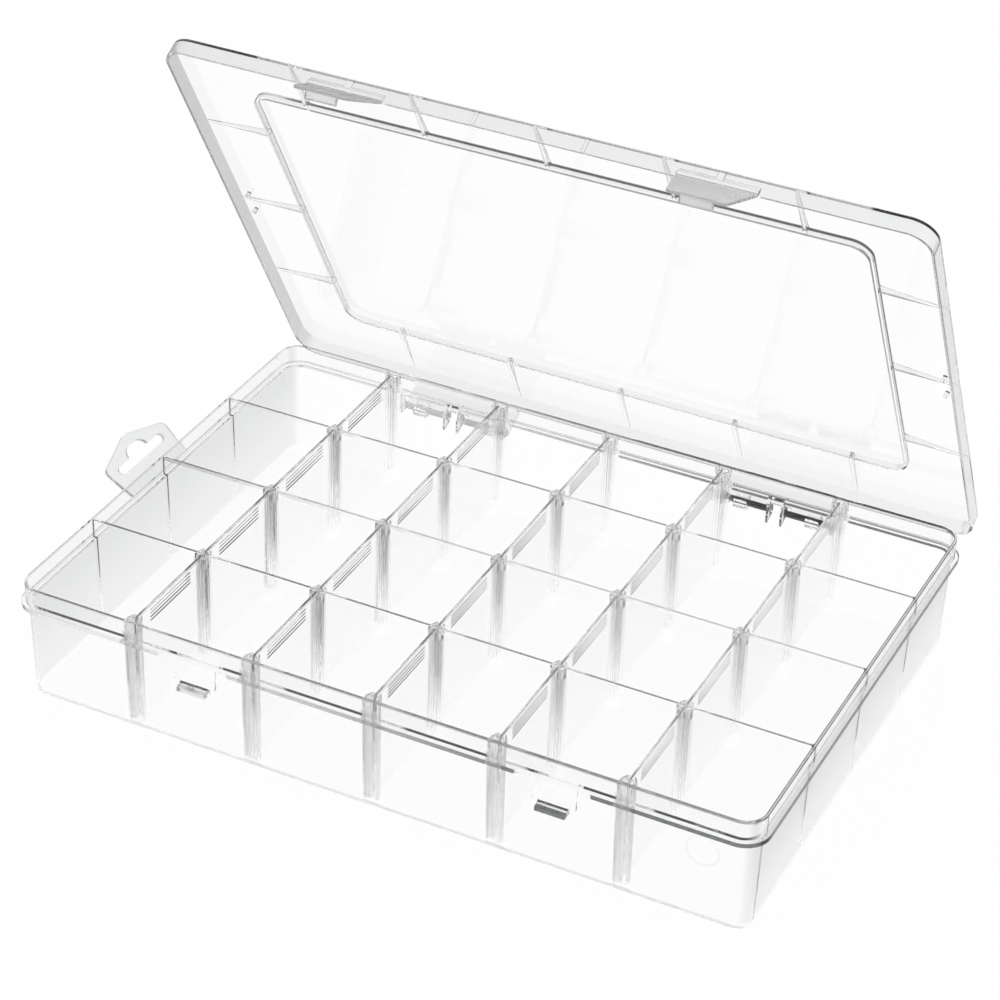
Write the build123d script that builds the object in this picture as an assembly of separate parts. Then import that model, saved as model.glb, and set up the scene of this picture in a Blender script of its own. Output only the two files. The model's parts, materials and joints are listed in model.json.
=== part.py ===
"""Clear plastic bead organizer: a divided tray, one hinged lid with two latches, and a fold-up hang tab.

Millimetres. X runs along the length, Y from front to back, Z up. The origin is the centre of the tray's
underside. The lid is modelled shut, then swung open about its hinge with its two latches.
"""

from build123d import *
import os
from math import cos, radians, sin, tan

# ---------------------------------------------------------------- tray
TRAY_HEIGHT = 55.0
RIM_LENGTH = 328.0  # inside the rim band, along X
RIM_WIDTH = 224.6  # inside the rim band, along Y
RIM_WALL = 1.2
RIM_BAND = 9.0  # height of the band above the flange
RIM_CORNER = 9.5  # outer corner radius of the band
RIM_EDGE = 0.4  # rounding of the band's top edges
LEDGE = 1.6  # the tray wall stands in from the band by this much
TRAY_WALL = 1.5
FLOOR = 1.5
DRAFT = 1.3  # degrees
FOOT_EDGE = 2.0  # rounding round the underside
FLANGE_REACH = 1.7  # out from the band
FLANGE_THICK = 1.8

# ---------------------------------------------------------------- rows and columns
ROWS = 4
COLUMNS = 6
ROW_PITCH = 56.5
COLUMN_PITCH = 55.0
ROW_WALL = 1.6
ROW_WALL_EDGE = 0.5

# ---------------------------------------------------------------- divider channels
RIB_FOOT_OUT = 3.5  # half width of a channel at the wall
RIB_FOOT_IN = 2.4
RIB_TIP_OUT = 1.9
CHANNEL_SLOT = 0.95  # half width of the slot between the rib tips
CHANNEL_DEPTH = 3.0
CHANNEL_DROP = 0.5  # the ribs end this far below the rim

# ---------------------------------------------------------------- dividers
DIVIDER_THICK = 1.2
DIVIDER_HEAD = 3.0  # width of the T at each end
DIVIDER_HEAD_THICK = 0.9
DIVIDER_CLEARANCE = 0.35  # from the head to the wall behind it
DIVIDER_EDGE = 0.45
GRIP_LINES = 4
GRIP_PITCH = 1.7
GRIP_HEIGHT = 0.35
GRIP_WIDTH = 0.7
GRIP_DROP = 2.6  # first line below the top edge
GRIP_SHARE = 0.6  # of the divider's length

# ---------------------------------------------------------------- latches and their catches
LATCH_SPACING = 161.0  # between the two centres
CATCH_GAP_INNER = 26.4  # gap in the flange at the band
CATCH_GAP_OUTER = 33.6
PAD_WIDTH = 20.0
PAD_FOOT_WIDTH = 19.0
PAD_RECESS = 0.4  # in from the band's face
CATCH_DROP = 21.0  # top of the bar below the rim
CATCH_WIDTH = 13.0
CATCH_REACH = 3.3
CATCH_SLOPE = 1.35
CATCH_EDGE = 1.8
LATCH_BASE = 34.0
LATCH_TIP = 24.4
LATCH_THICK = 1.2
LATCH_TIP_CORNER = 3.0
LATCH_TILT = 6.0  # degrees outwards when it is hooked
LATCH_CLEARANCE = 0.3
LATCH_FLEX_LEFT = 53.0  # degrees out of the skirt's plane, as it rests with the lid open
LATCH_FLEX_RIGHT = 41.0
HOOK_WIDTH = 13.5
HOOK_REACH = 3.4
HOOK_THICK = 2.4
HOOK_MARGIN = 1.0  # of the latch below its hook
LIP_HEIGHT = 2.2
LIVING_HINGE_GAP = 0.15

# ---------------------------------------------------------------- lid
LID_WALL = 1.3
LID_SEAT = 0.3  # between the rim and the shut lid
LID_FIT = 0.4  # between the rim band and the skirt
SKIRT_DEPTH = 6.4  # below the margin's inner face
LID_EDGE = 1.0  # rounding of the outer edges
PANEL_RISE = 3.2
PANEL_LENGTH = 271.6  # inside, along X
PANEL_WIDTH = 169.6
PANEL_CORNER = 8.0
LID_RIB_THICK = 1.5
LID_RIB_END = 0.25  # height of a rib where it runs out
PEG_DIAMETER = 2.0
PEG_HEIGHT = 2.4
PEG_INSET = 3.0  # from the rim band's inner face
PEG_OFFSET = 6.0  # either side of the middle rib
TICK_WIDTH = 3.0
TICK_PROUD = 0.8
THIN_TICK_WIDTH = 1.5
THIN_TICK_PROUD = 0.5
THIN_TICK_PLACE = 24.0
LID_OPEN = 60.5  # degrees, as it stands

# ---------------------------------------------------------------- hinges
HINGE_SPACING = 160.0
HINGE_WIDTH = 53.0
HINGE_DROP = 18.0  # pin below the rim
HINGE_BEHIND = 1.2  # pin behind the flange
PIN_RADIUS = 1.5
PIN_CLEARANCE = 0.08
EAR_RADIUS = 1.7
EAR_THICK = 1.5
INNER_RIB_PLACE = 3.3
INNER_RIB_THICK = 1.0
INNER_RIB_RADIUS = 2.6
INNER_RIB_FOOT = 5.0  # below the pin at the wall
WEB_FOOT = 1.8  # the web ends this far above the pin's axis
KNUCKLE_PLACE = 17.0
KNUCKLE_WIDTH = 6.0
KNUCKLE_RADIUS = 3.4
KNUCKLE_MOUTH = 2.5
FLAP_FOOT = 0.5  # lower edge above the pin's axis
FLAP_NOTCH = 9.4
FLAP_NOTCH_TOP = 4.5

# ---------------------------------------------------------------- hang tab
TAB_THICK = 1.5
TAB_PLACE = 0.5  # its middle, along Y
TAB_ROOT = 43.6
TAB_EAVES = 47.8
TAB_EAVES_REACH = 15.2
TAB_REACH = 22.5
TAB_CORNER = 3.0
TAB_PEAK = 7.0
TAB_ANGLE = 39.0  # degrees above flat, as it stands
SLOT_NEAR = 8.8  # straight edge of the slot, from the root
SLOT_FAR = 12.9
SLOT_LENGTH = 35.0
BUMP_WIDTH = 15.0
BUMP_FAR = 17.2

# ---------------------------------------------------------------- worked out from the sizes above
LEDGE_Z = TRAY_HEIGHT - RIM_BAND
FLANGE_UNDER = LEDGE_Z - FLANGE_THICK
BAND_X = RIM_LENGTH / 2 + RIM_WALL
BAND_Y = RIM_WIDTH / 2 + RIM_WALL
FLANGE_X = BAND_X + FLANGE_REACH
FLANGE_Y = BAND_Y + FLANGE_REACH
DRAFT_RUN = (LEDGE_Z - FLOOR) * tan(radians(DRAFT))
END_WALL_Y = RIM_WIDTH / 2 - LEDGE - DRAFT_RUN  # inner face of the front and back walls at the floor
COLUMN_LINES = [COLUMN_PITCH * (i - COLUMNS / 2) for i in range(1, COLUMNS)]
ROW_LINES = [ROW_PITCH * (i - ROWS / 2) for i in range(1, ROWS)]
LATCH_PLACES = {"latch_left": -LATCH_SPACING / 2, "latch_right": LATCH_SPACING / 2}
LATCH_FLEX = {"latch_left": LATCH_FLEX_LEFT, "latch_right": LATCH_FLEX_RIGHT}
HINGE_PLACES = [-HINGE_SPACING / 2, HINGE_SPACING / 2]
CATCH_Z = TRAY_HEIGHT - CATCH_DROP
CATCH_UNDER = CATCH_Z - CATCH_SLOPE - CATCH_EDGE
PAD_Y = -(BAND_Y - PAD_RECESS)

MARGIN_Z = TRAY_HEIGHT + LID_SEAT  # inner face of the lid's margin, shut
LID_X = BAND_X + LID_FIT + LID_WALL
LID_Y = BAND_Y + LID_FIT + LID_WALL
LID_CORNER = RIM_CORNER + LID_FIT + LID_WALL
SKIRT_Z = MARGIN_Z - SKIRT_DEPTH
PIN_Y = FLANGE_Y + HINGE_BEHIND
PIN_Z = TRAY_HEIGHT - HINGE_DROP
LID_AXIS = Axis((0, PIN_Y, PIN_Z), (-1, 0, 0))
LATCH_Y = -(FLANGE_Y + LATCH_CLEARANCE + LATCH_THICK / 2)
LATCH_Z = SKIRT_Z - LIVING_HINGE_GAP - LATCH_THICK / 2
LATCH_AXIS = Axis((0, LATCH_Y, LATCH_Z), (-1, 0, 0))
HOOK_TOP = (LATCH_Z - CATCH_UNDER + LATCH_CLEARANCE) / cos(radians(LATCH_TILT))  # from the hinge, along the latch
LATCH_LENGTH = HOOK_TOP + HOOK_THICK + HOOK_MARGIN
TAB_X = -(FLANGE_X + LIVING_HINGE_GAP + TAB_THICK / 2)
TAB_Z = LEDGE_Z - FLANGE_THICK / 2
TAB_AXIS = Axis((TAB_X, TAB_PLACE, TAB_Z), (0, 1, 0))

FUSE = 0.4  # how far a feature is sunk into the wall that it grows from
PAST = 1.0  # how far a cutter runs past the face that it cuts


def rounded_block(length, width, radius, low, high):
    """A block with rounded upright corners between two heights."""
    return extrude(Pos(0, 0, low) * RectangleRounded(length, width, radius), high - low)


def box_between(x_low, x_high, y_low, y_high, z_low, z_high):
    """A plain block between six planes."""
    size = (x_high - x_low, y_high - y_low, z_high - z_low)
    return Pos(x_low, y_low, z_low) * Box(*size, align=(Align.MIN, Align.MIN, Align.MIN))


def plate_across_x(points, middle, thickness):
    """A plate of even thickness whose outline is given as (y, z) points."""
    face = Plane.YZ * make_face(Polyline(*points, close=True))
    return Pos(middle, 0, 0) * extrude(face, thickness / 2, both=True)


def rod_along_x(radius, low, high, y, z):
    """A round rod parallel to X."""
    return Pos((low + high) / 2, y, z) * Rot(0, 90, 0) * Cylinder(radius, high - low)


def tray_form(band_out, wall_out, bottom):
    """The tray's stepped and drafted form, offset outwards from its inner faces."""
    band_corner = RIM_CORNER - RIM_WALL + band_out
    wall_corner = RIM_CORNER - RIM_WALL - LEDGE + wall_out
    band = rounded_block(RIM_LENGTH + 2 * band_out, RIM_WIDTH + 2 * band_out, band_corner, LEDGE_Z, TRAY_HEIGHT)
    length = RIM_LENGTH - 2 * LEDGE + 2 * wall_out
    width = RIM_WIDTH - 2 * LEDGE + 2 * wall_out
    mouth = Pos(0, 0, LEDGE_Z) * RectangleRounded(length, width, wall_corner)
    body = extrude(mouth, bottom - LEDGE_Z, taper=DRAFT)
    return band, body


def channel(foot):
    """A pair of channel ribs on a wall that lies in the XZ plane and faces +Y."""
    outline = [
        (CHANNEL_SLOT, CHANNEL_DEPTH),
        (RIB_TIP_OUT, CHANNEL_DEPTH),
        (RIB_FOOT_OUT, 0),
        (RIB_FOOT_OUT, -foot),
        (RIB_FOOT_IN, -foot),
        (RIB_FOOT_IN, 0),
    ]
    low = FLOOR - FUSE
    high = TRAY_HEIGHT - CHANNEL_DROP
    rib = extrude(Pos(0, 0, low) * make_face(Polyline(*outline, close=True)), high - low)
    rib = fillet(rib.edges().group_by(Axis.Z)[-1], RIM_EDGE / 2)
    return rib + mirror(rib, Plane.YZ)


def inner_walls():
    """The lengthwise walls and every divider channel, before they are trimmed to the tray."""
    reach = RIM_LENGTH / 2 + RIM_WALL
    slab = box_between(-reach, reach, -ROW_WALL / 2, ROW_WALL / 2, FLOOR - FUSE, TRAY_HEIGHT)
    slab = fillet(slab.edges().filter_by(Axis.X).group_by(Axis.Z)[-1], ROW_WALL_EDGE)
    row_channel = channel(FUSE)
    end_channel = channel(RIM_WIDTH / 2 - END_WALL_Y + FUSE)
    pieces = [Pos(0, y, 0) * slab for y in ROW_LINES]
    for x in COLUMN_LINES:
        for y in ROW_LINES:
            pieces.append(Pos(x, y + ROW_WALL / 2, 0) * row_channel)
            pieces.append(Pos(x, y - ROW_WALL / 2, 0) * mirror(row_channel, Plane.XZ))
        pieces.append(Pos(x, -END_WALL_Y, 0) * end_channel)
        pieces.append(Pos(x, END_WALL_Y, 0) * mirror(end_channel, Plane.XZ))
    return pieces


def flange():
    """The flange round the tray, with its two gaps for the latches."""
    corner = RIM_CORNER + FLANGE_REACH
    ring = rounded_block(2 * FLANGE_X, 2 * FLANGE_Y, corner, FLANGE_UNDER, LEDGE_Z)
    inner = CATCH_GAP_INNER / 2
    outer = CATCH_GAP_OUTER / 2
    gap = [(-inner, -BAND_Y), (-outer, -FLANGE_Y), (-outer, -FLANGE_Y - PAST), (outer, -FLANGE_Y - PAST),
           (outer, -FLANGE_Y), (inner, -BAND_Y)]
    gap_face = Pos(0, 0, FLANGE_UNDER - PAST) * make_face(Polyline(*gap, close=True))
    cutter = extrude(gap_face, FLANGE_THICK + 2 * PAST)
    for x in LATCH_PLACES.values():
        ring -= Pos(x, 0, 0) * cutter
    return ring


def catch(x):
    """The flat pad below the flange and the bar that the latch hooks under."""
    wall = -(RIM_WIDTH / 2 - LEDGE + TRAY_WALL / 2)
    pad_outline = [(-PAD_WIDTH / 2, LEDGE_Z), (PAD_WIDTH / 2, LEDGE_Z), (PAD_FOOT_WIDTH / 2, CATCH_Z),
                   (-PAD_FOOT_WIDTH / 2, CATCH_Z)]
    pad = extrude(Plane.XZ * make_face(Polyline(*pad_outline, close=True)), wall - PAD_Y)
    outer = PAD_Y - CATCH_REACH
    bar_outline = [(wall, CATCH_Z), (PAD_Y, CATCH_Z), (outer, CATCH_Z - CATCH_SLOPE), (outer, CATCH_UNDER),
                   (wall, CATCH_UNDER)]
    bar = plate_across_x(bar_outline, 0, CATCH_WIDTH)
    return Pos(x, 0, 0) * (Pos(0, wall, 0) * pad + bar)


def arm_outline(radius, foot):
    """Outline, in Y and Z, of a plate from the back wall to the pin."""
    wall = RIM_WIDTH / 2 - LEDGE + TRAY_WALL / 2 - DRAFT_RUN / 2
    return [(wall, PIN_Z - foot), (PIN_Y, PIN_Z - radius), (PIN_Y, PIN_Z + radius),
            (BAND_Y, FLANGE_UNDER + FUSE), (wall, FLANGE_UNDER + FUSE)]


def tray_hinge(x):
    """One hinge bracket: two ears, two inner ribs, a web and the pin in two lengths."""
    pieces = []
    web_half = INNER_RIB_PLACE
    for side in (-1, 1):
        ear = side * (HINGE_WIDTH / 2 - EAR_THICK / 2)
        rib = side * INNER_RIB_PLACE
        pieces.append(plate_across_x(arm_outline(EAR_RADIUS, EAR_RADIUS), ear, EAR_THICK))
        pieces.append(rod_along_x(EAR_RADIUS, ear - EAR_THICK / 2, ear + EAR_THICK / 2, PIN_Y, PIN_Z))
        pieces.append(plate_across_x(arm_outline(INNER_RIB_RADIUS, INNER_RIB_FOOT), rib, INNER_RIB_THICK))
        pieces.append(rod_along_x(INNER_RIB_RADIUS, rib - INNER_RIB_THICK / 2, rib + INNER_RIB_THICK / 2,
                                  PIN_Y, PIN_Z))
        pieces.append(rod_along_x(PIN_RADIUS, min(ear, rib), max(ear, rib), PIN_Y, PIN_Z))
    wall = RIM_WIDTH / 2 - LEDGE + TRAY_WALL / 2
    pieces.append(box_between(-web_half, web_half, wall, BAND_Y, PIN_Z + WEB_FOOT, FLANGE_UNDER + FUSE))
    return [Pos(x, 0, 0) * piece for piece in pieces]


def make_tray():
    """The tray as one moulding."""
    band, body = tray_form(RIM_WALL, TRAY_WALL, 0)
    body = fillet(body.edges().group_by(Axis.Z)[0], FOOT_EDGE)
    band = fillet(band.edges().group_by(Axis.Z)[-1], RIM_EDGE)
    band_room, body_room = tray_form(0, 0, FLOOR)
    shell = (band + body + flange()) - body_room - band_room
    band_core, body_core = tray_form(RIM_WALL / 2, TRAY_WALL / 2, FLOOR / 2)
    walls = Part() + inner_walls()
    shell += walls & (band_core + body_core)
    for x in LATCH_PLACES.values():
        shell += catch(x)
    for x in HINGE_PLACES:
        shell += tray_hinge(x)
    return shell


def make_divider(front, back):
    """A divider at X = 0 between a wall face that looks back and one that looks forward."""
    low = front + DIVIDER_CLEARANCE
    high = back - DIVIDER_CLEARANCE
    half = DIVIDER_THICK / 2
    plate = box_between(-half, half, low, high, FLOOR, TRAY_HEIGHT)
    plate = fillet(plate.edges().filter_by(Axis.Y).group_by(Axis.Z)[-1], DIVIDER_EDGE)
    for start in (low, high - DIVIDER_HEAD_THICK):
        plate += box_between(-DIVIDER_HEAD / 2, DIVIDER_HEAD / 2, start, start + DIVIDER_HEAD_THICK,
                             FLOOR, TRAY_HEIGHT - CHANNEL_DROP)
    length = (high - low) * GRIP_SHARE
    for i in range(GRIP_LINES):
        z = TRAY_HEIGHT - GRIP_DROP - i * GRIP_PITCH
        outline = [(half - GRIP_HEIGHT, z - GRIP_WIDTH), (half, z - GRIP_WIDTH / 2),
                   (half + GRIP_HEIGHT, z), (half, z + GRIP_WIDTH / 2), (half - GRIP_HEIGHT, z + GRIP_WIDTH)]
        line = extrude(Plane.XZ * make_face(Polyline(*outline, close=True)), length / 2, both=True)
        plate += Pos(0, (low + high) / 2, 0) * line
    return plate


def lid_rib(start, end):
    """A wedge rib in the YZ plane, tall at the panel wall and running out at the lid's edge."""
    top = MARGIN_Z + LID_WALL
    return plate_across_x([(start, top - FUSE), (start, top + PANEL_RISE - FUSE), (end, top + LID_RIB_END),
                           (end, top - FUSE)], 0, LID_RIB_THICK)


def lid_ribs():
    """Five ribs on the front margin, five on the back one and three on each side."""
    back = lid_rib(PANEL_WIDTH / 2 + FUSE, LID_Y - LID_EDGE)
    front = mirror(back, Plane.XZ)
    side = Rot(0, 0, 90) * lid_rib(PANEL_LENGTH / 2 + FUSE, LID_X - LID_EDGE)
    ribs = [Pos(x, 0, 0) * rib for x in COLUMN_LINES for rib in (front, back)]
    for y in ROW_LINES:
        ribs.append(Pos(0, y, 0) * side)
        ribs.append(Pos(0, y, 0) * mirror(side, Plane.YZ))
    return ribs


def lid_hinge(x):
    """One hinge flap: a shelf behind the skirt, the flap down to the pin and two snap-on knuckles."""
    half = HINGE_WIDTH / 2
    outer = PIN_Y + KNUCKLE_RADIUS
    shelf = box_between(-half, half, LID_Y - LID_WALL / 2, outer, SKIRT_Z, SKIRT_Z + LID_WALL)
    flap = box_between(-half, half, outer - LID_WALL, outer, PIN_Z + FLAP_FOOT, SKIRT_Z + LID_WALL)
    flap -= box_between(-FLAP_NOTCH / 2, FLAP_NOTCH / 2, PIN_Y, outer + PAST, PIN_Z, PIN_Z + FLAP_NOTCH_TOP)
    hinge = shelf + flap
    for side in (-1, 1):
        low = side * KNUCKLE_PLACE - KNUCKLE_WIDTH / 2
        high = low + KNUCKLE_WIDTH
        knuckle = rod_along_x(KNUCKLE_RADIUS, low, high, PIN_Y, PIN_Z)
        knuckle += box_between(low, high, PIN_Y, outer, PIN_Z, PIN_Z + KNUCKLE_RADIUS)
        knuckle -= rod_along_x(PIN_RADIUS + PIN_CLEARANCE, low - PAST, high + PAST, PIN_Y, PIN_Z)
        knuckle -= box_between(low - PAST, high + PAST, PIN_Y - KNUCKLE_RADIUS, PIN_Y,
                               PIN_Z - KNUCKLE_MOUTH / 2, PIN_Z + KNUCKLE_MOUTH / 2)
        hinge += knuckle
    return Pos(x, 0, 0) * hinge


def latch_lip(x):
    """The thicker edge of the skirt that a latch hangs from, with its stiffener above."""
    inner = -(LID_Y - LID_WALL / 2)
    outer = LATCH_Y - LATCH_THICK / 2
    half = LATCH_BASE / 2
    slope = LIP_HEIGHT + (abs(outer) - LID_Y)
    outline = [(inner, SKIRT_Z), (outer, SKIRT_Z), (outer, SKIRT_Z + LIP_HEIGHT / 2),
               (-LID_Y, SKIRT_Z + slope), (inner, SKIRT_Z + slope)]
    lip = plate_across_x(outline, 0, 2 * half)
    tick = box_between(-TICK_WIDTH / 2, TICK_WIDTH / 2, -(LID_Y + TICK_PROUD), inner, SKIRT_Z,
                       MARGIN_Z + LID_WALL - LID_EDGE)
    return Pos(x, 0, 0) * (lip + tick)


def lid_pegs():
    """Two pairs of small pegs under the side margins."""
    x = RIM_LENGTH / 2 - PEG_INSET
    peg = Pos(0, 0, MARGIN_Z - PEG_HEIGHT) * Cylinder(
        PEG_DIAMETER / 2, PEG_HEIGHT + FUSE, align=(Align.CENTER, Align.CENTER, Align.MIN))
    return [Pos(side * x, y, 0) * peg for side in (-1, 1) for y in (-PEG_OFFSET, PEG_OFFSET)]


def make_lid():
    """The shut lid as one moulding, without its latches."""
    top = MARGIN_Z + LID_WALL
    cap = rounded_block(2 * LID_X, 2 * LID_Y, LID_CORNER, SKIRT_Z, top)
    cap = fillet(cap.edges().group_by(Axis.Z)[-1], LID_EDGE)
    raised = rounded_block(PANEL_LENGTH + 2 * LID_WALL, PANEL_WIDTH + 2 * LID_WALL, PANEL_CORNER + LID_WALL,
                           MARGIN_Z, top + PANEL_RISE)
    raised = fillet(raised.edges().group_by(Axis.Z)[-1], LID_EDGE)
    room = rounded_block(2 * (LID_X - LID_WALL), 2 * (LID_Y - LID_WALL), LID_CORNER - LID_WALL,
                         SKIRT_Z - PAST, MARGIN_Z)
    panel_room = rounded_block(PANEL_LENGTH, PANEL_WIDTH, PANEL_CORNER, MARGIN_Z - PAST, MARGIN_Z + PANEL_RISE)
    lid = cap + raised
    lid += lid_ribs()
    lid -= room
    lid -= panel_room
    lid += lid_pegs()
    lid += [latch_lip(x) for x in LATCH_PLACES.values()]
    lid += [lid_hinge(x) for x in HINGE_PLACES]
    thin = box_between(-THIN_TICK_WIDTH / 2, THIN_TICK_WIDTH / 2, -(LID_Y + THIN_TICK_PROUD),
                       -(LID_Y - LID_WALL / 2), SKIRT_Z, top - LID_EDGE)
    lid += [Pos(side * THIN_TICK_PLACE, 0, 0) * thin for side in (-1, 1)]
    return lid


def make_latch():
    """A latch at X = 0 that hangs straight down from its living hinge."""
    half = LATCH_THICK / 2
    base = LATCH_BASE / 2
    tip = LATCH_TIP / 2
    low = LATCH_Z - LATCH_LENGTH
    outline = make_face(Polyline((-base, LATCH_Z), (base, LATCH_Z), (tip, low), (-tip, low), close=True))
    outline = fillet(outline.vertices().group_by(Axis.Y)[0], LATCH_TIP_CORNER)
    flap = extrude(Plane.XZ * outline, half, both=True)
    hook_top = LATCH_Z - HOOK_TOP
    hook = box_between(-HOOK_WIDTH / 2, HOOK_WIDTH / 2, 0, half + HOOK_REACH, hook_top - HOOK_THICK, hook_top)
    hook = chamfer(hook.edges().filter_by(Axis.X).group_by(Axis.Y)[-1].group_by(Axis.Z)[0], HOOK_THICK / 3)
    root = rod_along_x(half, -base, base, 0, LATCH_Z)
    return Pos(0, LATCH_Y, 0) * (flap + hook + root)


def slot_outline():
    """The hanger slot, as a face with X along the tab's root and Y out from it."""
    radius = (SLOT_FAR - SLOT_NEAR) / 2
    bar = Pos(0, (SLOT_NEAR + SLOT_FAR) / 2) * SlotOverall(SLOT_LENGTH, 2 * radius)
    bump = Pos(0, SLOT_NEAR + (BUMP_FAR - SLOT_NEAR) / 2) * Rectangle(BUMP_WIDTH, BUMP_FAR - SLOT_NEAR)
    bump = fillet(bump.vertices().group_by(Axis.Y)[-1], BUMP_WIDTH / 3)
    return bar + bump


def make_hang_tab():
    """The hang tab, lying flat."""
    root = TAB_ROOT / 2
    eaves = TAB_EAVES / 2
    outline = make_face(Polyline((-root, 0), (root, 0), (eaves, TAB_EAVES_REACH), (0, TAB_REACH),
                                 (-eaves, TAB_EAVES_REACH), close=True))
    peak = outline.vertices().sort_by(Axis.Y)[-1]
    outline = fillet(peak, TAB_PEAK)
    outline = fillet(outline.vertices().group_by(Axis.X)[0] + outline.vertices().group_by(Axis.X)[-1], TAB_CORNER)
    outline -= slot_outline()
    sheet = extrude(outline, TAB_THICK / 2, both=True)
    sheet += rod_along_x(TAB_THICK / 2, -root, root, 0, 0)
    return Pos(TAB_X, TAB_PLACE, TAB_Z) * Rot(0, 0, 90) * sheet


def save(shape, name):
    """Writes one node."""
    shape.label = name
    export_step(shape, f"parts/{name}.step")


os.makedirs("parts", exist_ok=True)

save(make_tray(), "tray")
save(make_lid().rotate(LID_AXIS, LID_OPEN), "lid")

latch = make_latch()
for name, x in LATCH_PLACES.items():
    flexed = (Pos(x, 0, 0) * latch).rotate(LATCH_AXIS, LATCH_FLEX[name])
    save(flexed.rotate(LID_AXIS, LID_OPEN), name)

save(make_hang_tab().rotate(TAB_AXIS, TAB_ANGLE), "hang_tab")

faces = [-END_WALL_Y] + [y + side * ROW_WALL / 2 for y in ROW_LINES for side in (-1, 1)] + [END_WALL_Y]
for row in range(ROWS):
    divider = make_divider(faces[2 * row], faces[2 * row + 1])
    for column, x in enumerate(COLUMN_LINES):
        save(Pos(x, 0, 0) * divider, f"divider_r{row + 1}_c{column + 1}")
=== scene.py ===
"""Clear bead organizer: the looks, stage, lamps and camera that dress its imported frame.

Laid out as an add-on and run as a script. Everything is in metres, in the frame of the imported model.
"""

import json
import math

import bpy
from bpy.props import FloatProperty, FloatVectorProperty, IntProperty, PointerProperty
from bpy.types import Operator, Panel, PropertyGroup
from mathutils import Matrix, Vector


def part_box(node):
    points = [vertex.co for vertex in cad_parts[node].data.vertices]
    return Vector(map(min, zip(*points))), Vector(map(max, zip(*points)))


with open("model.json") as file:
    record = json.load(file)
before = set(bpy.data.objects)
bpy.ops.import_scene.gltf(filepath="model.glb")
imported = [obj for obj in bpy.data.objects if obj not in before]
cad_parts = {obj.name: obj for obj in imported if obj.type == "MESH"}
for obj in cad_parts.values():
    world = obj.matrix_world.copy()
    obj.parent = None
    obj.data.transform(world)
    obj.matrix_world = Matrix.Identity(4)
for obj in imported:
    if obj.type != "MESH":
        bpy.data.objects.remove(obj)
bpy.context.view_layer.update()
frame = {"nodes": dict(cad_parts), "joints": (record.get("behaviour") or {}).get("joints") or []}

bl_info = {
    "name": "Bead Organizer",
    "version": (1, 0, 0),
    "blender": (4, 5, 0),
    "location": "View3D > Sidebar > Organizer",
    "description": "Clear plastic looks, stage, lamps and camera for a divided bead organizer",
    "category": "Object",
}

NODES = frame["nodes"]
DIVIDERS = sorted(name for name in NODES if name.startswith("divider_"))
LATCHES = ["latch_left", "latch_right"]
WHITE = (1.0, 1.0, 1.0, 1.0)
MIX_FACTOR, MIX_A, MIX_B, MIX_RESULT = 0, 6, 7, 2  # the colour sockets of a Mix node


def middle(name):
    """The middle of a node's box."""
    low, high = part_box(name)
    return (low + high) / 2


COLUMN_PITCH = middle("divider_r1_c2").x - middle("divider_r1_c1").x
ROW_PITCH = middle("divider_r2_c1").y - middle("divider_r1_c1").y
LAST_COLUMN = middle("divider_r1_c5").x
RIM_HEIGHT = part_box("tray")[1].z
RIM_LENGTH = 2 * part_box("tray")[1].x
RIM_WIDTH = -2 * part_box("tray")[0].y
LID_HINGE = next(joint for joint in frame["joints"] if joint["name"] == "lid_hinge")
LID_OPEN = math.radians(-LID_HINGE["range_deg"][0])

# Soft edges, each as the two shares of a size between which it fades.
LINE_INNER = (0.6, 1.0)        # of the lip width, off the inner edge of the rim
LINE_OUTER = (0.4, 0.7)        # of the lip width, off the outer edge of the rim
LINE_TOP = (1.5, 1.0)          # of the lip width, below the top of the rim
LINE_FLANGE = (0.6, 0.4)       # of the lip width, inside the edge of the flange
FOOT_EDGE = (0.6, 1.0)         # of the foot height, on the tray
FOOT_LINE = (0.2, 0.3)         # of the foot height, along the outer foot of the tray
DIVIDER_FOOT = (1.0, 2.0)      # of the foot height, on a divider
CHANNEL_SIDE = (0.8, 1.0)      # of the channel reach, along a row
CHANNEL_DEEP = (1.1, 1.3)      # of the channel reach, across a row
CHANNEL_LAST = (1.0, 1.5)      # of the channel reach, past the last column
CHANNEL_TOP = (0.5, 0.4)       # of the rim depth, below the rim
RIM_BAND = (1.0, 0.9)          # of the rim depth, below the rim: the band of painted shade
CREST_BAND = (1.0, 0.9)        # of the crest depth, below the rim
ROW_WALL = (1.0, 1.2)          # of the rim wall, off the middle of a row
GRIP_FACE = (1.0, 1.06)        # of the grip face
GRIP_TOP = (1.0, 0.95)         # of the grip band, below the rim
GRIP_ENDS = (1.0, 1.2)         # of the channel reach
RIM_ENDS = (0.488, 0.49)       # of the length of the rim
RIM_SIDES = (0.482, 0.484)     # of the width of the rim
FRONT_WALL = (0.95, 0.96)      # of the half width inside the rim
FRONT_CHANNELS = (0.9, 0.88)   # of the half width inside the rim
STEP_ENDS = (0.9, 0.92)        # of the half length inside the rim
GATE_RING = (0.0, 0.12)        # of the gate radius
GATE_DEPTH = (0.002, 0.003)    # in metres, off the gate mark's middle
SIDEWAYS = (0.35, 0.9)         # of a normal, along the length of the object
OFF_PLATE = (0.1, 0.75)        # of a normal, square to the lid's plate
HINGE_EDGE = (0.5, 0.65)       # of the two heights of the hinge side

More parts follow.
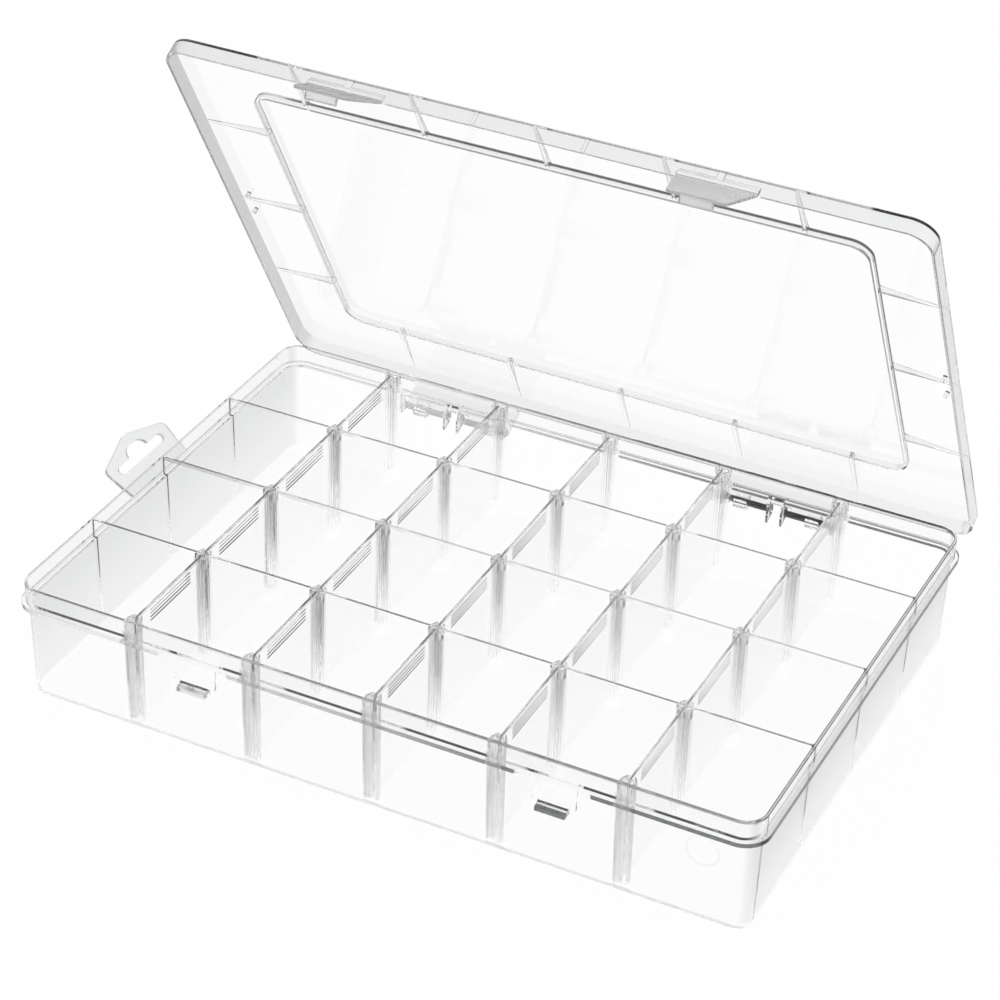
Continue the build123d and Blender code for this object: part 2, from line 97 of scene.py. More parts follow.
# Strengths, each as what is there everywhere and what a mask adds.
FLOW_DULL = (0.7, 0.6)         # dullness of a satin face, and what the flow marks add
RIM_LINE_SHADE = (0.2, 0.8)        # painted dark rim lines, and what the right end adds
TRAY_END_SHADE = (0.35, 0.4)       # painted shade: grey of the tray's end walls, and what the height adds towards the rim
LID_END_SHADE = (0.1, 0.9)           # painted shade: grey of the lid's ends, and what the left end adds
LID_SKIRT_SHADE = (0.25, 0.35)       # painted shade: grey of the lid's long sides, and what the hinge side adds
LID_DULL = (0.12, 0.38)        # dullness of the lid's skirt, and what the left end adds
DIVIDER_DULL = (0.03, 0.06)    # dullness of a divider, and what the height adds
LATCH_DULL = (0.6, 0.4)        # dullness of the latches and the tab, and what the flow marks add
CHANNEL_FADE = (1.3, -0.45)    # clearness of the channels, and what the height takes away
FRONT_FADE = (1.0, -0.35)      # clearness of the channels, and what the front wall takes away

# Single shares.
GRAIN_DULL = 0.15              # dullness that the grain adds
DRAWN_DULL = 0.3               # dullness of the tray's drawn walls
CHANNEL_DULL = 0.35            # dullness of the channels
OUTER_LINE = 0.8               # of the outer rim line against the inner one
LINE_END = 0.5                 # of the half length, where the rim lines are full
FOOT_LINE_BODY = 0.3           # body that the line along the outer foot keeps
HINGE_SHADE = 0.15              # painted shade: share of the end wall shade tint, by the hinge of the lid
DIVIDER_CREST = 0.6            # of the crest clearness, on a divider


# ---------------------------------------------------------------- settings
class OrganizerPlasticSettings(PropertyGroup):
    """The clear plastic of the moulded pieces."""

    clear_tint: FloatVectorProperty(
        name="Clear tint", description="Tint of a polished flat wall of the tray or the lid",
        subtype="COLOR", size=3, min=0.0, max=1.0, default=(0.998, 0.999, 1.0))
    # Painted shade: the grey of the lid's skirt, panel step and ribs; the latches mix it in as a tone of
    # their own.
    skirt_shade_and_latch_tint: FloatVectorProperty(
        name="Drawn wall tint", description="Tint of the walls that slide along the mould",
        subtype="COLOR", size=3, min=0.0, max=1.0, default=(0.935, 0.94, 0.942))
    # Painted shade: the grey painted on the tray's end walls and on the lid's ends, skirt and hinge side.
    end_wall_shade_tint: FloatVectorProperty(
        name="End wall tint", description="Tint of the drawn walls at the two short ends",
        subtype="COLOR", size=3, min=0.0, max=1.0, default=(0.71, 0.72, 0.723))
    # Painted shade: the channel ribs are grey near the rim and fade out towards the floor.
    channel_shade_tint: FloatVectorProperty(
        name="Channel tint", description="Tint of the ribs that hold the dividers, near the rim",
        subtype="COLOR", size=3, min=0.0, max=1.0, default=(0.985, 0.987, 0.988))
    # Painted shade on the rim band and its flange; the gate mark takes the same grey as its own tone.
    rim_shade_and_gate_tint: FloatVectorProperty(
        name="Rim tint", description="Tint of the rim band and its flange",
        subtype="COLOR", size=3, min=0.0, max=1.0, default=(0.93, 0.936, 0.938))
    # Painted shade: dividers are painted grey near the top edge and clear towards the floor.
    divider_top_shade_tint: FloatVectorProperty(
        name="Divider tint", description="Tint of a loose divider near its top edge",
        subtype="COLOR", size=3, min=0.0, max=1.0, default=(0.982, 0.985, 0.986))
    latch_tint: FloatVectorProperty(
        name="Latch tint", description="Tint of the latches and the hang tab",
        subtype="COLOR", size=3, min=0.0, max=1.0, default=(0.86, 0.87, 0.872))
    refraction: FloatProperty(
        name="Refraction", description="Index of refraction of the plastic", min=1.0, max=2.0, default=1.45)
    glare: FloatVectorProperty(
        name="Glare", description="Strength of what a face mirrors when it is looked at squarely",
        subtype="COLOR", size=3, min=0.0, max=1.0, default=(0.12, 0.12, 0.12))
    polish: FloatProperty(
        name="Polish", description="Roughness of a polished mould face", min=0.0, max=1.0, default=0.04)
    satin: FloatProperty(
        name="Satin", description="Roughness of a drawn or worn mould face", min=0.0, max=1.0, default=0.34)
    haze: FloatProperty(
        name="Haze", description="Share of milky plastic in a clear face", min=0.0, max=1.0, default=0.004)
    flow_size: FloatProperty(
        name="Flow size", description="Size of the flow marks left by the moulding", unit="LENGTH",
        min=0.001, default=0.055)
    flow_height: FloatProperty(
        name="Flow height", description="Height of the flow marks", unit="LENGTH",
        min=0.0, default=0.00003)
    grain_scale: FloatProperty(
        name="Grain scale", description="Grains in a metre of the fine grain", min=1.0, default=900.0)
    relief: FloatProperty(
        name="Relief", description="Strength of the flow marks and the gate mark",
        subtype="FACTOR", min=0.0, max=1.0, default=0.35)
    channel_reach: FloatProperty(
        name="Channel reach", description="Half width of the band at each divider channel", unit="LENGTH",
        min=0.0, default=0.0042)
    rim_depth: FloatProperty(
        name="Rim depth", description="Depth of the rim band with its flange", unit="LENGTH",
        min=0.0, default=0.0115)
    foot_height: FloatProperty(
        name="Foot height", description="Height of the layer along the floor that goes unseen",
        unit="LENGTH", min=0.0, default=0.0035)
    foot_clearness: FloatProperty(
        name="Foot clearness", description="How far the thin floor of the tray goes unseen",
        subtype="FACTOR", min=0.0, max=1.0, default=0.975)
    channel_clearness: FloatProperty(
        name="Channel clearness", description="How far the thin ribs of a channel let the floor show",
        subtype="FACTOR", min=0.0, max=1.0, default=0.78)
    grip_from: FloatProperty(
        name="Grip face", description="From the middle of a divider to where its grip lines start",
        unit="LENGTH", min=0.0, default=0.00062)
    grip_band: FloatProperty(
        name="Grip band", description="Depth of the grip lines below the rim", unit="LENGTH",
        min=0.0, default=0.0105)
    grip_clearness: FloatProperty(
        name="Grip clearness", description="How far the grip lines go unseen",
        subtype="FACTOR", min=0.0, max=1.0, default=0.9)
    # Painted shade: the lid is greyer below these heights, by the hinge; the same heights also fade some of
    # its faces out.
    hinge_side: FloatVectorProperty(
        name="Hinge side", description="Heights between the open lid's greyer hinge side and the rest",
        unit="LENGTH", size=2, default=(0.09, 0.13))
    step_clearness: FloatProperty(
        name="Step clearness", description="How far the far step of the lid's panel goes unseen",
        subtype="FACTOR", min=0.0, max=1.0, default=0.65)
    crest_clearness: FloatProperty(
        name="Crest clearness", description="How far the top edges of the rows and dividers go unseen",
        subtype="FACTOR", min=0.0, max=1.0, default=0.4)
    crest_depth: FloatProperty(
        name="Crest depth", description="Depth of the fainter top edges of the rows and dividers",
        unit="LENGTH", min=0.0, default=0.0016)
    # Painted shade: dark lines painted along the rim's edges in place of the dark edges that refraction
    # shows; the lip width below is their width.
    rim_line_shade_tint: FloatVectorProperty(
        name="Lip tint", description="Tint of the thin edges of the rim",
        subtype="COLOR", size=3, min=0.0, max=1.0, default=(0.045, 0.048, 0.05))
    lip_width: FloatProperty(
        name="Lip width", description="Width of the thin dark edges of the rim", unit="LENGTH",
        min=0.0, default=0.0006)
    rim_inside: FloatVectorProperty(
        name="Rim inside", description="Half length and half width inside the rim", unit="LENGTH", size=2,
        default=(0.164, 0.1123))
    rim_corner: FloatProperty(
        name="Rim corner", description="Radius of the corners inside the rim", unit="LENGTH",
        min=0.0, default=0.0083)
    rim_wall: FloatProperty(
        name="Rim wall", description="Thickness of the rim", unit="LENGTH", min=0.0, default=0.0012)
    flange_reach: FloatProperty(
        name="Flange reach", description="From inside the rim to the edge of the flange", unit="LENGTH",
        min=0.0, default=0.0029)
    gate_place: FloatVectorProperty(
        name="Gate place", description="Centre of the round gate mark on the front wall",
        subtype="TRANSLATION", unit="LENGTH", size=3, default=(0.1425, -0.1115, 0.034))
    gate_radius: FloatProperty(
        name="Gate radius", description="Radius of the round gate mark", unit="LENGTH",
        min=0.0, default=0.0068)
    gate_height: FloatProperty(
        name="Gate height", description="Height of the ring of the gate mark", unit="LENGTH",
        min=0.0, default=0.00012)


class OrganizerStageSettings(PropertyGroup):
    """The floor, the lamps and the sky around the organizer."""

    floor_size: FloatProperty(
        name="Floor size", description="Length of each side of the floor", unit="LENGTH",
        min=1.0, default=9.0)
    floor_gap: FloatProperty(
        name="Floor gap", description="Space between the floor and the underside", unit="LENGTH",
        min=0.0, default=0.0004)
    floor_colour: FloatVectorProperty(
        name="Floor colour", description="Colour of the pale floor",
        subtype="COLOR", size=3, min=0.0, max=1.0, default=(0.95, 0.95, 0.95))
    floor_glow: FloatProperty(
        name="Floor glow", description="Share of plain white in the floor as the camera sees it",
        subtype="FACTOR", min=0.0, max=1.0, default=0.98)
    near_reach: FloatProperty(
        name="White reach", description="How far the floor stays pale in a reflection inside plastic",
        unit="LENGTH", min=0.0, default=0.18)
    far_reach: FloatProperty(
        name="Grey reach", description="Where the floor has gone grey in a reflection inside plastic",
        unit="LENGTH", min=0.0, default=0.5)
    reflected_pale: FloatProperty(
        name="Reflected pale", description="Grey of the near floor in a reflection",
        min=0.0, max=1.0, default=0.97)
    reflected_dark: FloatProperty(
        name="Reflected dark", description="Grey of the far floor in a reflection inside plastic",
        min=0.0, max=1.0, default=0.3)
    sky_light: FloatProperty(
        name="Sky light", description="Light of the sky on matt surfaces", min=0.0, default=0.6)
    sky_dark: FloatProperty(
        name="Sky dark", description="Grey of the sky overhead as gloss and clear edges show it",
        min=0.0, max=1.0, default=0.25)
    overhead: FloatVectorProperty(
        name="Overhead", description="Rise of a direction between which the sky goes dark",
        size=2, min=0.0, max=1.0, default=(0.82, 0.98))
    dark_front: FloatVectorProperty(
        name="Dark front", description="Direction of the unlit front of the studio", subtype="XYZ", size=3,
        default=(0.42, -0.72, 0.55))
    dark_corner: FloatVectorProperty(
        name="Dark corner", description="Direction of the unlit far corner of the studio", subtype="XYZ",
        size=3, default=(0.72, 0.62, 0.3))
    dark_spread: FloatVectorProperty(
        name="Dark spread", description="Cosines off a dark direction between which the sky goes dark",
        size=2, min=-1.0, max=1.0, default=(0.78, 0.97))
    lamp_aim: FloatVectorProperty(
        name="Lamp aim", description="The point that both lamps look at", subtype="TRANSLATION",
        unit="LENGTH", size=3, default=(0.0, 0.0, 0.05))
    key_place: FloatVectorProperty(
        name="Key place", description="Where the large lamp hangs", subtype="TRANSLATION",
        unit="LENGTH", size=3, default=(-1.1, -1.2, 1.9))
    key_size: FloatProperty(
        name="Key size", description="Length of each side of the large lamp", unit="LENGTH",
        min=0.01, default=1.4)
    key_power: FloatProperty(
        name="Key power", description="Power of the large lamp", unit="POWER", min=0.0, default=9.0)
    fill_place: FloatVectorProperty(
        name="Fill place", description="Where the fill lamp hangs", subtype="TRANSLATION",
        unit="LENGTH", size=3, default=(1.6, 0.4, 1.5))
    fill_size: FloatProperty(
        name="Fill size", description="Length of each side of the fill lamp", unit="LENGTH",
        min=0.01, default=1.2)
    fill_power: FloatProperty(
        name="Fill power", description="Power of the fill lamp", unit="POWER", min=0.0, default=5.0)
    bounces: IntProperty(
        name="Bounces", description="How often light may pass the walls of the clear plastic",
        min=1, default=48)
    glossy_bounces: IntProperty(
        name="Glossy bounces", description="How often light may be mirrored", min=1, default=12)
    see_through: IntProperty(
        name="See-through", description="How many faint faces light may pass", min=1, default=32)


class OrganizerCameraSettings(PropertyGroup):
    """The camera."""

    place: FloatVectorProperty(
        name="Place", description="Where the camera stands", subtype="TRANSLATION", unit="LENGTH",
        size=3, default=(0.4629, -0.9698, 0.7854))
    turn: FloatVectorProperty(
        name="Turn", description="How the camera is turned", subtype="EULER", unit="ROTATION", size=3,
        default=(math.radians(56.8499), math.radians(-1.5346), math.radians(26.534)))
    lens: FloatProperty(
        name="Lens", description="Focal length", unit="CAMERA", min=1.0, default=111.7)
    nearest: FloatProperty(
        name="Nearest", description="Where the view starts", unit="LENGTH", min=0.001, default=0.01)
    farthest: FloatProperty(
        name="Farthest", description="Where the view ends", unit="LENGTH", min=1.0, default=50.0)


# ---------------------------------------------------------------- shader maths
class Field:
    """A shader socket with arithmetic: each operator adds its Math node."""

    def __init__(self, shader, socket):
        self.shader = shader
        self.socket = socket

    def _math(self, operation, *values):
        return self.shader.add("ShaderNodeMath", {"operation": operation}, dict(enumerate(values)))[0]

    def __add__(self, other):
        return self._math("ADD", self, other)

    __radd__ = __add__

    def __sub__(self, other):
        return self._math("SUBTRACT", self, other)

    def __rsub__(self, other):
        return self._math("SUBTRACT", other, self)

    def __mul__(self, other):
        return self._math("MULTIPLY", self, other)

    __rmul__ = __mul__

    def clamped(self):
        """The value kept between 0 and 1."""
        return self.shader.add("ShaderNodeClamp", {}, {"Value": self, "Min": 0.0, "Max": 1.0})[0]

    def above(self, limit):
        """The value, or the limit where that is more."""
        return self._math("MAXIMUM", self, limit)

    def root(self):
        """The square root of the value."""
        return self._math("SQRT", self)

    def size(self):
        """The value without its sign."""
        return self._math("ABSOLUTE", self)

    def folded(self, pitch):
        """How far the value is from the nearest multiple of a pitch."""
        return self._math("PINGPONG", self, pitch / 2)

    def between(self, start, end, low=0.0, high=1.0):
        """A soft step from the low value at the start to the high one at the end."""
        return self.shader.add("ShaderNodeMapRange", {"interpolation_type": "SMOOTHSTEP"}, {
            "Value": self, "From Min": start, "From Max": end, "To Min": low, "To Max": high})[0]

    def parts(self):
        """The X, Y and Z of a vector."""
        return self.shader.add("ShaderNodeSeparateXYZ", {}, {"Vector": self})

    def along(self, direction):
        """How far a vector goes along a direction."""
        return self.shader.add("ShaderNodeVectorMath", {"operation": "DOT_PRODUCT"}, {
            0: self, 1: direction})[1]

    def length(self):
        """The length of a vector."""
        return self.shader.add("ShaderNodeVectorMath", {"operation": "LENGTH"}, {0: self})[1]


class Shader:
    """Builds the node tree of a material or of the world."""

    def __init__(self, owner):
        owner.use_nodes = True
        self.tree = owner.node_tree
        self.tree.nodes.clear()

    def add(self, kind, settings, sockets):
        """Adds a node and returns its outputs as fields. Settings are set before the sockets."""
        node = self.tree.nodes.new(kind)
        for name, value in settings.items():
            setattr(node, name, value)
        for name, value in sockets.items():
            if isinstance(value, Field):
                self.tree.links.new(value.socket, node.inputs[name])
            else:
                node.inputs[name].default_value = value
        return [Field(self, output) for output in node.outputs]

    def source(self, kind):
        """Adds a node without inputs and returns its outputs by name."""
        return {field.socket.name: field for field in self.add(kind, {}, {})}


def shade(colour):
    """A colour with its alpha, for a socket."""
    return (*colour, 1.0)


def span(size, shares):
    """The two ends of a soft edge, from its shares of a size."""
    return [size * share for share in shares]


def below_rim(depth, shares):
    """The two heights of a soft edge below the top of the rim, from its shares of a depth."""
    return [RIM_HEIGHT - depth * share for share in shares]


def rising(mask, strength):
    """A strength that is there everywhere, with what it adds under a mask."""
    everywhere, added = strength
    return everywhere + added * mask


class ClearPlastic:
    """Glossy clear plastic with faint flow marks, satin drawn walls and a little milky haze."""

    def __init__(self, name):
        self.look = bpy.context.scene.organizer_plastic
        self.material = bpy.data.materials.new(name)
        self.shader = Shader(self.material)
        coordinates = self.shader.source("ShaderNodeTexCoord")
        self.facing = coordinates["Normal"]
        self.place = coordinates["Object"]
        self.flow = self.shader.add("ShaderNodeTexNoise", {}, {
            "Vector": self.place, "Scale": 1.0 / self.look.flow_size, "Detail": 2.0, "Roughness": 0.45,
            "Distortion": 0.6})[0]
        self.grain = self.shader.add("ShaderNodeTexNoise", {}, {
            "Vector": self.place, "Scale": self.look.grain_scale, "Detail": 1.0, "Roughness": 0.5})[0]

    def sideways(self):
        """1 on a face that looks along the length of the object."""
        return self.facing.parts()[0].size().between(*SIDEWAYS)

    def tinted(self, mask, base, deep):
        """A colour that goes from base to deep with a mask."""
        return self.shader.add("ShaderNodeMix", {"data_type": "RGBA"}, {
            MIX_FACTOR: mask, MIX_A: base if isinstance(base, Field) else shade(base),
            MIX_B: shade(deep)})[MIX_RESULT]

    def finish(self, colour, satin, body=1.0, relief=0.0):
        """Joins the colour, the satin (1 on a dull face), the body (0 on an unseen face) and a relief."""
        look, shader = self.look, self.shader
        dull = (satin * rising(self.flow, FLOW_DULL) + GRAIN_DULL * self.grain).clamped()
        roughness = look.polish + (look.satin - look.polish) * dull
        height = look.flow_height * self.flow + relief
        bump = shader.add("ShaderNodeBump", {}, {
            "Strength": look.relief, "Distance": 1.0, "Height": height})[0]
        clear = shader.add("ShaderNodeBsdfPrincipled", {}, {
            "Base Color": colour, "Roughness": roughness, "IOR": look.refraction,
            "Transmission Weight": 1 - look.haze, "Specular Tint": shade(look.glare), "Alpha": body,
            "Normal": bump})[0]
        shader.add("ShaderNodeOutputMaterial", {}, {"Surface": clear})
        return self.material


def rim_lines(plastic):
    """Painted dark lines, a painted shade for the dark edges that refraction shows, along the inner and
    outer top edges of the rim and the edge of the flange.
    """
    look = plastic.look
    x, y, z = plastic.place.parts()
    half_length, half_width = look.rim_inside
    beyond_x = (x.size() - (half_length - look.rim_corner)).above(0.0)
    beyond_y = (y.size() - (half_width - look.rim_corner)).above(0.0)
    out = (beyond_x * beyond_x + beyond_y * beyond_y).root() - look.rim_corner
    line = look.lip_width
    inner = 1 - out.size().between(*span(line, LINE_INNER))
    outer = 1 - (out - look.rim_wall).size().between(*span(line, LINE_OUTER))
    top = z.between(*below_rim(line, LINE_TOP))
    starts, ends = span(line, LINE_FLANGE)
    flange_edge = out.between(look.flange_reach - starts, look.flange_reach - ends)
    # The painted dark lines get stronger towards the right end.
    near_end = rising(x.between(-half_length, half_length * LINE_END), RIM_LINE_SHADE)
    return (((inner + outer * OUTER_LINE) * top + flange_edge) * near_end).clamped()


def gate_mark(plastic):
    """The thin ring that the moulding leaves on the front wall."""
    look = plastic.look
    x, y, z = plastic.place.parts()
    across = x - look.gate_place[0]
    up = z - look.gate_place[2]
    away = (across * across + up * up).root()
    ring = 1 - (away - look.gate_radius).size().between(*span(look.gate_radius, GATE_RING))
    return ring * (1 - (y - look.gate_place[1]).size().between(*GATE_DEPTH))


def tray_plastic():
    """Clear rows and floor; painted shade greys the end walls and channels towards the rim and a band round
    the rim, and paints dark rim lines; fainter channels and a gate mark.
    """
    plastic = ClearPlastic("tray_clear_plastic")
    look = plastic.look
    x, y, z = plastic.place.parts()
    half_width = look.rim_inside[1]
    height = z.between(0.0, RIM_HEIGHT)
    # Painted shade: the end walls get grey, more of it towards the rim.
    drawn = plastic.sideways() * rising(height, TRAY_END_SHADE)
    reach = look.channel_reach
    beside = 1 - x.folded(COLUMN_PITCH).between(*span(reach, CHANNEL_SIDE))
    behind = 1 - y.folded(ROW_PITCH).between(*span(reach, CHANNEL_DEEP))
    starts, ends = span(reach, CHANNEL_LAST)
    inside = 1 - x.size().between(LAST_COLUMN + starts, LAST_COLUMN + ends)
    below = 1 - z.between(*below_rim(look.rim_depth, CHANNEL_TOP))
    channel = beside * behind * inside * below
    around = (x.size().between(*span(RIM_LENGTH, RIM_ENDS))
              + y.size().between(*span(RIM_WIDTH, RIM_SIDES))).clamped()
    rim = around * z.between(*below_rim(look.rim_depth, RIM_BAND))
    gate = gate_mark(plastic)
    # Painted shade: grey end walls.
    colour = plastic.tinted(drawn, look.clear_tint, look.end_wall_shade_tint)
    # Painted shade: the channel ribs get grey, more towards the rim.
    colour = plastic.tinted(channel * height, colour, look.channel_shade_tint)
    # Painted shade: a grey band round the rim; the gate ring gets the same grey as its own tone.
    colour = plastic.tinted((rim + gate).clamped(), colour, look.rim_shade_and_gate_tint)
    # Painted shade: dark lines along the rim's edges.
    colour = plastic.tinted(rim_lines(plastic), colour, look.rim_line_shade_tint)
    satin = (drawn * DRAWN_DULL + channel * CHANNEL_DULL).clamped() * (1 - rim)
    foot = 1 - z.between(*span(look.foot_height, FOOT_EDGE))
    foot_line = 1 - z.between(*span(look.foot_height, FOOT_LINE))
    foot_line = foot_line * y.between(*span(-half_width, FRONT_WALL))
    crest = z.between(*below_rim(look.crest_depth, CREST_BAND))
    crest = crest * (1 - around) * (1 - y.folded(ROW_PITCH).between(*span(look.rim_wall, ROW_WALL)))
    at_front = 1 - y.between(*span(-half_width, FRONT_CHANNELS))
    faint = (channel * look.channel_clearness * rising(height, CHANNEL_FADE) * (1 - foot_line)
             * rising(at_front, FRONT_FADE))
    unseen = (foot * (look.foot_clearness - FOOT_LINE_BODY * foot_line) + faint
              + crest * look.crest_clearness)
    return plastic.finish(colour, satin, 1 - unseen.clamped(), gate * look.gate_height)


def lid_plastic():
    """Clear panel and margin; painted shade greys the skirt, panel step and ribs, more at the left end and
    by the hinge.
    """
    plastic = ClearPlastic("lid_clear_plastic")
    look = plastic.look
    x, _, z = plastic.place.parts()
    low, high = look.hinge_side
    upright = Vector((0.0, math.sin(LID_OPEN), math.cos(LID_OPEN)))
    drawn = 1 - plastic.facing.along(upright).size().between(*OFF_PLATE)
    sideways = plastic.sideways()
    # Painted shade: the skirt, step and ribs go grey, the ends most at the left end, and the long sides and
    # all faces greyer by the hinge.
    far_end = x.between(LAST_COLUMN, -LAST_COLUMN)
    by_hinge = 1 - z.between(low, high)
    close_to_hinge = 1 - z.between(low * HINGE_EDGE[0], high * HINGE_EDGE[1])
    colour = plastic.tinted(drawn, look.clear_tint, look.skirt_shade_and_latch_tint)
    colour = plastic.tinted(drawn * sideways * rising(far_end, LID_END_SHADE), colour, look.end_wall_shade_tint)
    colour = plastic.tinted(drawn * (1 - sideways) * rising(by_hinge, LID_SKIRT_SHADE), colour,
                            look.end_wall_shade_tint)
    colour = plastic.tinted(close_to_hinge * HINGE_SHADE, colour, look.end_wall_shade_tint)
    step = 1 - x.size().between(*span(look.rim_inside[0], STEP_ENDS))
    far_step = sideways * far_end * step * look.step_clearness
    body = 1 - drawn * (far_step + (1 - sideways) * by_hinge * look.crest_clearness)
    return plastic.finish(colour, drawn * rising(far_end, LID_DULL), body)


def divider_plastic():
    """Plastic with painted shade that greys it towards the top of a divider, duller there too, with faint
    grip lines and foot.
    """
    plastic = ClearPlastic("divider_clear_plastic")
    look = plastic.look
    x, y, z = plastic.place.parts()
    height = z.between(0.0, RIM_HEIGHT)
    # Painted shade: grey towards the top of the divider.
    colour = plastic.tinted(height, look.clear_tint, look.divider_top_shade_tint)
    foot = 1 - z.between(*span(look.foot_height, DIVIDER_FOOT))
    grip = (x.folded(COLUMN_PITCH).between(*span(look.grip_from, GRIP_FACE))
            * z.between(*below_rim(look.grip_band, GRIP_TOP))
            * y.folded(ROW_PITCH).between(*span(look.channel_reach, GRIP_ENDS)))
    crest = z.between(*below_rim(look.crest_depth, CREST_BAND))
    faint = grip * look.grip_clearness + crest * look.crest_clearness * DIVIDER_CREST
    body = 1 - (foot * look.foot_clearness + faint).clamped()
    return plastic.finish(colour, rising(height, DIVIDER_DULL), body)


def latch_plastic(name):
    """Satin plastic of the small bending pieces."""
    plastic = ClearPlastic(name)
    look = plastic.look
    colour = plastic.tinted(plastic.flow, look.latch_tint, look.skirt_shade_and_latch_tint)
    return plastic.finish(colour, rising(plastic.flow, LATCH_DULL))


def finish_node(name, material):
    """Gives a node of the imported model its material."""
    slots = NODES[name].data.materials
    slots.clear()
    slots.append(material)


# ---------------------------------------------------------------- operators
class ORGANIZER_OT_tray(Operator):
    """Gives the tray its clear plastic"""

    bl_idname = "organizer.tray"
    bl_label = "Tray"

    def execute(self, context):
        finish_node("tray", tray_plastic())
        return {"FINISHED"}


class ORGANIZER_OT_lid(Operator):
    """Gives the lid its clear plastic"""

    bl_idname = "organizer.lid"
    bl_label = "Lid"

    def execute(self, context):
        finish_node("lid", lid_plastic())
        return {"FINISHED"}


class ORGANIZER_OT_latches(Operator):
    """Gives the two latches their clear plastic"""

    bl_idname = "organizer.latches"
    bl_label = "Latches"

    def execute(self, context):
        material = latch_plastic("latch_clear_plastic")
        for name in LATCHES:
            finish_node(name, material)
        return {"FINISHED"}


class ORGANIZER_OT_hang_tab(Operator):
    """Gives the hang tab its clear plastic"""

    bl_idname = "organizer.hang_tab"
    bl_label = "Hang tab"

    def execute(self, context):
        finish_node("hang_tab", latch_plastic("hang_tab_clear_plastic"))
        return {"FINISHED"}


class ORGANIZER_OT_dividers(Operator):
    """Gives the loose dividers their clear plastic"""

    bl_idname = "organizer.dividers"
    bl_label = "Dividers"

    def execute(self, context):
        material = divider_plastic()
        for name in DIVIDERS:
            finish_node(name, material)
        return {"FINISHED"}


def floor_material(stage):
    """A pale matt floor that shows white, keeps the shadow and goes grey in reflections inside plastic."""
    material = bpy.data.materials.new("floor_white")
    shader = Shader(material)
    path = shader.source("ShaderNodeLightPath")
    distance = shader.source("ShaderNodeNewGeometry")["Position"].length()
    fade = distance.between(stage.near_reach, stage.far_reach, stage.reflected_pale, stage.reflected_dark)
    within = (path["Transmission Depth"] - 1).clamped()
    glow = 1 - path["Glossy Depth"].clamped() * within * (1 - fade)
    white = shader.add("ShaderNodeEmission", {}, {"Color": glow, "Strength": 1.0})[0]
    matt = shader.add("ShaderNodeBsdfDiffuse", {}, {"Color": shade(stage.floor_colour)})[0]
    share = path["Is Camera Ray"] * stage.floor_glow + path["Is Glossy Ray"] + path["Is Transmission Ray"]
    mixed = shader.add("ShaderNodeMixShader", {}, {0: share.clamped(), 1: matt, 2: white})[0]
    shader.add("ShaderNodeOutputMaterial", {}, {"Surface": mixed})
    return material


def build_world(stage):
    """A white surround that gloss and clear edges see go dark overhead and in two directions."""
    world = bpy.data.worlds.new("studio")
    bpy.context.scene.world = world
    shader = Shader(world)
    path = shader.source("ShaderNodeLightPath")
    direction = shader.source("ShaderNodeTexCoord")["Generated"]
    pale = 1 - direction.parts()[2].between(*stage.overhead)
    for side in (stage.dark_front, stage.dark_corner):
        pale = pale * (1 - direction.along(Vector(side).normalized()).between(*stage.dark_spread))
    clear = stage.sky_dark + (1 - stage.sky_dark) * pale
    shown = (path["Is Glossy Ray"] + path["Is Transmission Ray"]).clamped()
    light = stage.sky_light * (1 - shown) + clear * shown
    strength = path["Is Camera Ray"] + light * (1 - path["Is Camera Ray"])
    white = shader.add("ShaderNodeBackground", {}, {"Color": WHITE, "Strength": strength})[0]
    shader.add("ShaderNodeOutputWorld", {}, {"Surface": white})


def add_lamp(name, place, aim, size, power):
    """A square soft lamp that looks at a point."""
    bpy.ops.object.light_add(type="AREA", location=place)
    lamp = bpy.context.object
    lamp.name = name
    lamp.data.shape = "SQUARE"
    lamp.data.size = size
    lamp.data.energy = power
    lamp.rotation_euler = (Vector(aim) - Vector(place)).to_track_quat("-Z", "Y").to_euler()


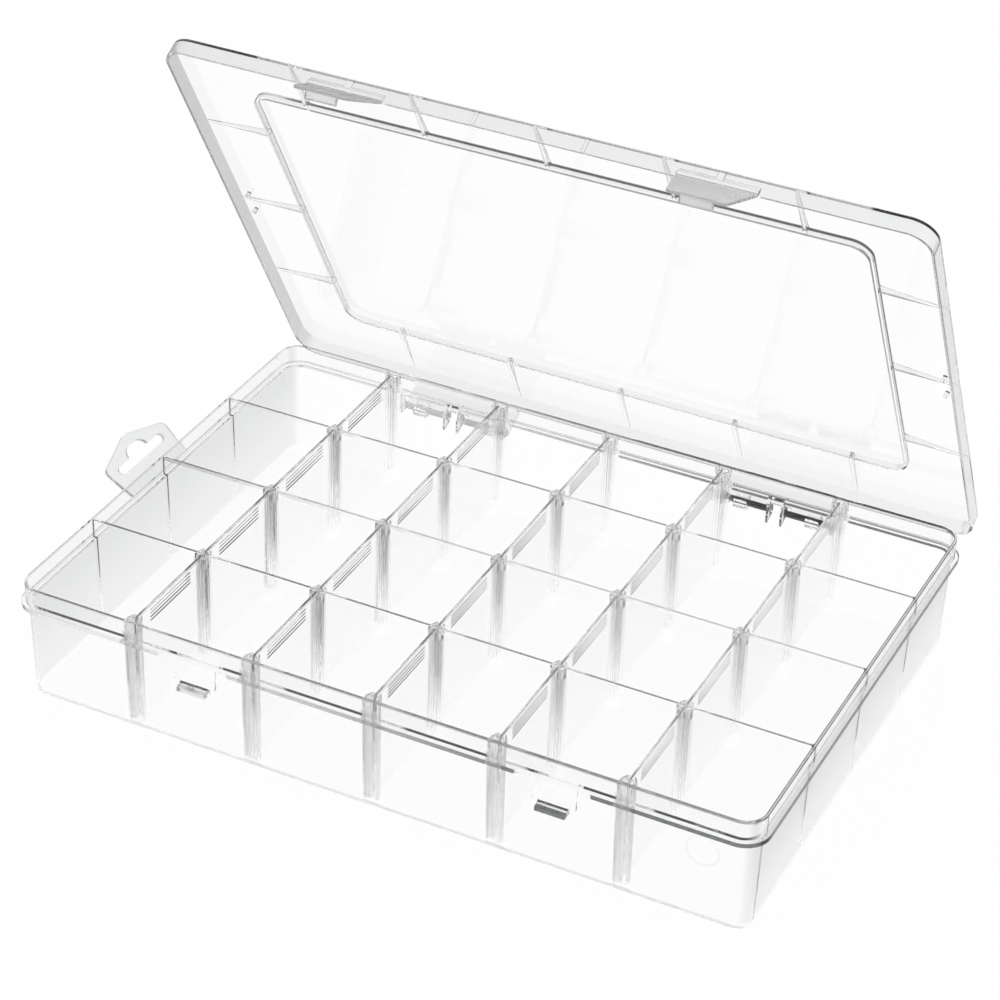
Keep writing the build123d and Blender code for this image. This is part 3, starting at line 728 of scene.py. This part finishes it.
class ORGANIZER_OT_stage(Operator):
    """Lays the floor, lights the organizer and sets up the camera"""

    bl_idname = "organizer.stage"
    bl_label = "Stage"

    def execute(self, context):
        scene = context.scene
        stage = scene.organizer_stage
        bpy.ops.object.select_all(action="DESELECT")
        bpy.ops.mesh.primitive_plane_add(size=stage.floor_size, location=(0.0, 0.0, -stage.floor_gap))
        floor = context.object
        floor.name = "floor"
        floor.data.materials.append(floor_material(stage))
        build_world(stage)
        add_lamp("key_lamp", stage.key_place, stage.lamp_aim, stage.key_size, stage.key_power)
        add_lamp("fill_lamp", stage.fill_place, stage.lamp_aim, stage.fill_size, stage.fill_power)
        view = scene.organizer_camera
        bpy.ops.object.camera_add(location=view.place, rotation=view.turn)
        camera = context.object
        camera.name = "camera"
        camera.data.lens = view.lens
        camera.data.clip_start = view.nearest
        camera.data.clip_end = view.farthest
        scene.camera = camera
        scene.view_settings.view_transform = "Standard"
        scene.cycles.max_bounces = stage.bounces
        scene.cycles.transmission_bounces = stage.bounces
        scene.cycles.glossy_bounces = stage.glossy_bounces
        scene.cycles.transparent_max_bounces = stage.see_through
        return {"FINISHED"}


class ORGANIZER_PT_panel(Panel):
    """Lists the organizer's settings and operators"""

    bl_idname = "ORGANIZER_PT_panel"
    bl_label = "Bead Organizer"
    bl_space_type = "VIEW_3D"
    bl_region_type = "UI"
    bl_category = "Organizer"

    def draw(self, context):
        scene = context.scene
        layout = self.layout
        for group in (scene.organizer_plastic, scene.organizer_stage, scene.organizer_camera):
            box = layout.box()
            for name in group.__annotations__:
                box.prop(group, name)
        for operator in OPERATORS:
            layout.operator(operator.bl_idname)


OPERATORS = (
    ORGANIZER_OT_tray,
    ORGANIZER_OT_lid,
    ORGANIZER_OT_latches,
    ORGANIZER_OT_hang_tab,
    ORGANIZER_OT_dividers,
    ORGANIZER_OT_stage,
)
SETTINGS = {
    "organizer_plastic": OrganizerPlasticSettings,
    "organizer_stage": OrganizerStageSettings,
    "organizer_camera": OrganizerCameraSettings,
}


def register():
    """Registers the settings, operators and panel."""
    for name, group in SETTINGS.items():
        bpy.utils.register_class(group)
        setattr(bpy.types.Scene, name, PointerProperty(type=group))
    for operator in OPERATORS:
        bpy.utils.register_class(operator)
    bpy.utils.register_class(ORGANIZER_PT_panel)


def unregister():
    """Takes the panel, operators and settings away again."""
    bpy.utils.unregister_class(ORGANIZER_PT_panel)
    for operator in reversed(OPERATORS):
        bpy.utils.unregister_class(operator)
    for name, group in reversed(SETTINGS.items()):
        delattr(bpy.types.Scene, name)
        bpy.utils.unregister_class(group)


def main():
    """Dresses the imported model."""
    register()
    bpy.ops.organizer.tray()
    bpy.ops.organizer.lid()
    bpy.ops.organizer.latches()
    bpy.ops.organizer.hang_tab()
    bpy.ops.organizer.dividers()
    bpy.ops.organizer.stage()


if __name__ == "__main__":
    main()
